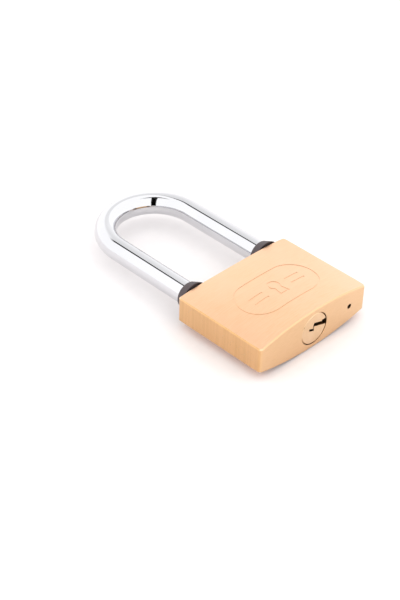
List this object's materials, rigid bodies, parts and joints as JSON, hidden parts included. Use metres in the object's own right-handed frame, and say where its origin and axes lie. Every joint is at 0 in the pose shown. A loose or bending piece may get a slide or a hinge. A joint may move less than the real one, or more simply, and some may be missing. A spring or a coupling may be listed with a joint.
{
  "type": "padlock",
  "caption": "Padlock with a brass body bowed front and back, a long chromed shackle, a pin cylinder in the end face, and dark seals where the shackle enters.",
  "frame": {"origin": "middle of the plug's face, on the cylinder's axis, in the plane of the key face", "axes": "+Y along the cylinder's axis from the key face towards the shackle; +X towards the heel leg, the leg that stays in; +Z out of the engraved front face, which is up when the padlock lies on its back"},
  "size_m": [0.05, 0.0956, 0.0152],
  "materials": {
    "body_brass": "satin brushed",
    "plug_brass": "fine turned",
    "shackle_chrome": "polished",
    "seal_plastic": "matte",
    "plain_steel": "satin",
    "spring_steel": "drawn wire",
    "pin_brass": "turned"
  },
  "bodies": {
    "case": {"body": "body_brass", "heel_seal": "seal_plastic", "toe_seal": "seal_plastic", "shackle_spring": "spring_steel", "latch_spring": "spring_steel", "latch_channel_plug": "body_brass", "shackle_retaining_pin": "plain_steel", "plug_retaining_pin": "plain_steel", "chamber_plug_1": "body_brass", "chamber_plug_2": "body_brass", "chamber_plug_3": "body_brass", "chamber_plug_4": "body_brass", "chamber_plug_5": "body_brass", "pin_spring_1": "spring_steel", "pin_spring_2": "spring_steel", "pin_spring_3": "spring_steel", "pin_spring_4": "spring_steel", "pin_spring_5": "spring_steel"},
    "plug_and_cam": {"plug": "plug_brass", "cam": "plug_brass"},
    "shackle": {"shackle": "shackle_chrome"},
    "latch": {"latch": "plain_steel"},
    "key_pin_1": {"key_pin_1": "pin_brass"},
    "key_pin_2": {"key_pin_2": "pin_brass"},
    "key_pin_3": {"key_pin_3": "pin_brass"},
    "key_pin_4": {"key_pin_4": "pin_brass"},
    "key_pin_5": {"key_pin_5": "pin_brass"},
    "driver_pin_1": {"driver_pin_1": "pin_brass"},
    "driver_pin_2": {"driver_pin_2": "pin_brass"},
    "driver_pin_3": {"driver_pin_3": "pin_brass"},
    "driver_pin_4": {"driver_pin_4": "pin_brass"},
    "driver_pin_5": {"driver_pin_5": "pin_brass"}
  },
  "joints": [
    {"name": "plug_turn", "type": "hinge", "parent": "case", "child": "plug_and_cam", "pos_m": [0, 0, 0], "axis": [0, 1, 0], "range_deg": [0, 90]},
    {"name": "shackle_lift", "type": "slide", "parent": "case", "child": "shackle", "axis": [0, 1, 0], "range_m": [0, 0.0183], "deforming": ["shackle_spring"]},
    {"name": "latch_slide", "type": "slide", "parent": "case", "child": "latch", "axis": [1, 0, 0], "range_m": [0, 0.005], "deforming": ["latch_spring"]},
    {"name": "key_pin_1_slide", "type": "slide", "parent": "plug_and_cam", "child": "key_pin_1", "axis": [1, 0, 0], "range_m": [0, 0.00248]},
    {"name": "key_pin_2_slide", "type": "slide", "parent": "plug_and_cam", "child": "key_pin_2", "axis": [1, 0, 0], "range_m": [0, 0.00168]},
    {"name": "key_pin_3_slide", "type": "slide", "parent": "plug_and_cam", "child": "key_pin_3", "axis": [1, 0, 0], "range_m": [0, 0.00288]},
    {"name": "key_pin_4_slide", "type": "slide", "parent": "plug_and_cam", "child": "key_pin_4", "axis": [1, 0, 0], "range_m": [0, 0.00208]},
    {"name": "key_pin_5_slide", "type": "slide", "parent": "plug_and_cam", "child": "key_pin_5", "axis": [1, 0, 0], "range_m": [0, 0.00128]},
    {"name": "driver_pin_1_slide", "type": "slide", "parent": "case", "child": "driver_pin_1", "axis": [-1, 0, 0], "range_m": [0, 0.0016], "stiffness_N_per_m": 100, "springref_m": -0.002, "deforming": ["pin_spring_1"]},
    {"name": "driver_pin_2_slide", "type": "slide", "parent": "case", "child": "driver_pin_2", "axis": [-1, 0, 0], "range_m": [0, 0.0016], "stiffness_N_per_m": 100, "springref_m": -0.002, "deforming": ["pin_spring_2"]},
    {"name": "driver_pin_3_slide", "type": "slide", "parent": "case", "child": "driver_pin_3", "axis": [-1, 0, 0], "range_m": [0, 0.0016], "stiffness_N_per_m": 100, "springref_m": -0.002, "deforming": ["pin_spring_3"]},
    {"name": "driver_pin_4_slide", "type": "slide", "parent": "case", "child": "driver_pin_4", "axis": [-1, 0, 0], "range_m": [0, 0.0016], "stiffness_N_per_m": 100, "springref_m": -0.002, "deforming": ["pin_spring_4"]},
    {"name": "driver_pin_5_slide", "type": "slide", "parent": "case", "child": "driver_pin_5", "axis": [-1, 0, 0], "range_m": [0, 0.0016], "stiffness_N_per_m": 100, "springref_m": -0.002, "deforming": ["pin_spring_5"]}
  ],
  "couplings": [
    {"joint": "plug_turn", "follows": "shackle_lift", "rad_per_m": 85.845},
    {"joint": "latch_slide", "follows": "shackle_lift", "ratio": 0.27325},
    {"joint": "key_pin_2_slide", "follows": "key_pin_1_slide", "ratio": 0.67742},
    {"joint": "key_pin_3_slide", "follows": "key_pin_1_slide", "ratio": 1.1613},
    {"joint": "key_pin_4_slide", "follows": "key_pin_1_slide", "ratio": 0.83871},
    {"joint": "key_pin_5_slide", "follows": "key_pin_1_slide", "ratio": 0.51613},
    {"joint": "driver_pin_2_slide", "follows": "driver_pin_1_slide", "ratio": 1},
    {"joint": "driver_pin_3_slide", "follows": "driver_pin_1_slide", "ratio": 1},
    {"joint": "driver_pin_4_slide", "follows": "driver_pin_1_slide", "ratio": 1},
    {"joint": "driver_pin_5_slide", "follows": "driver_pin_1_slide", "ratio": 1}
  ]
}
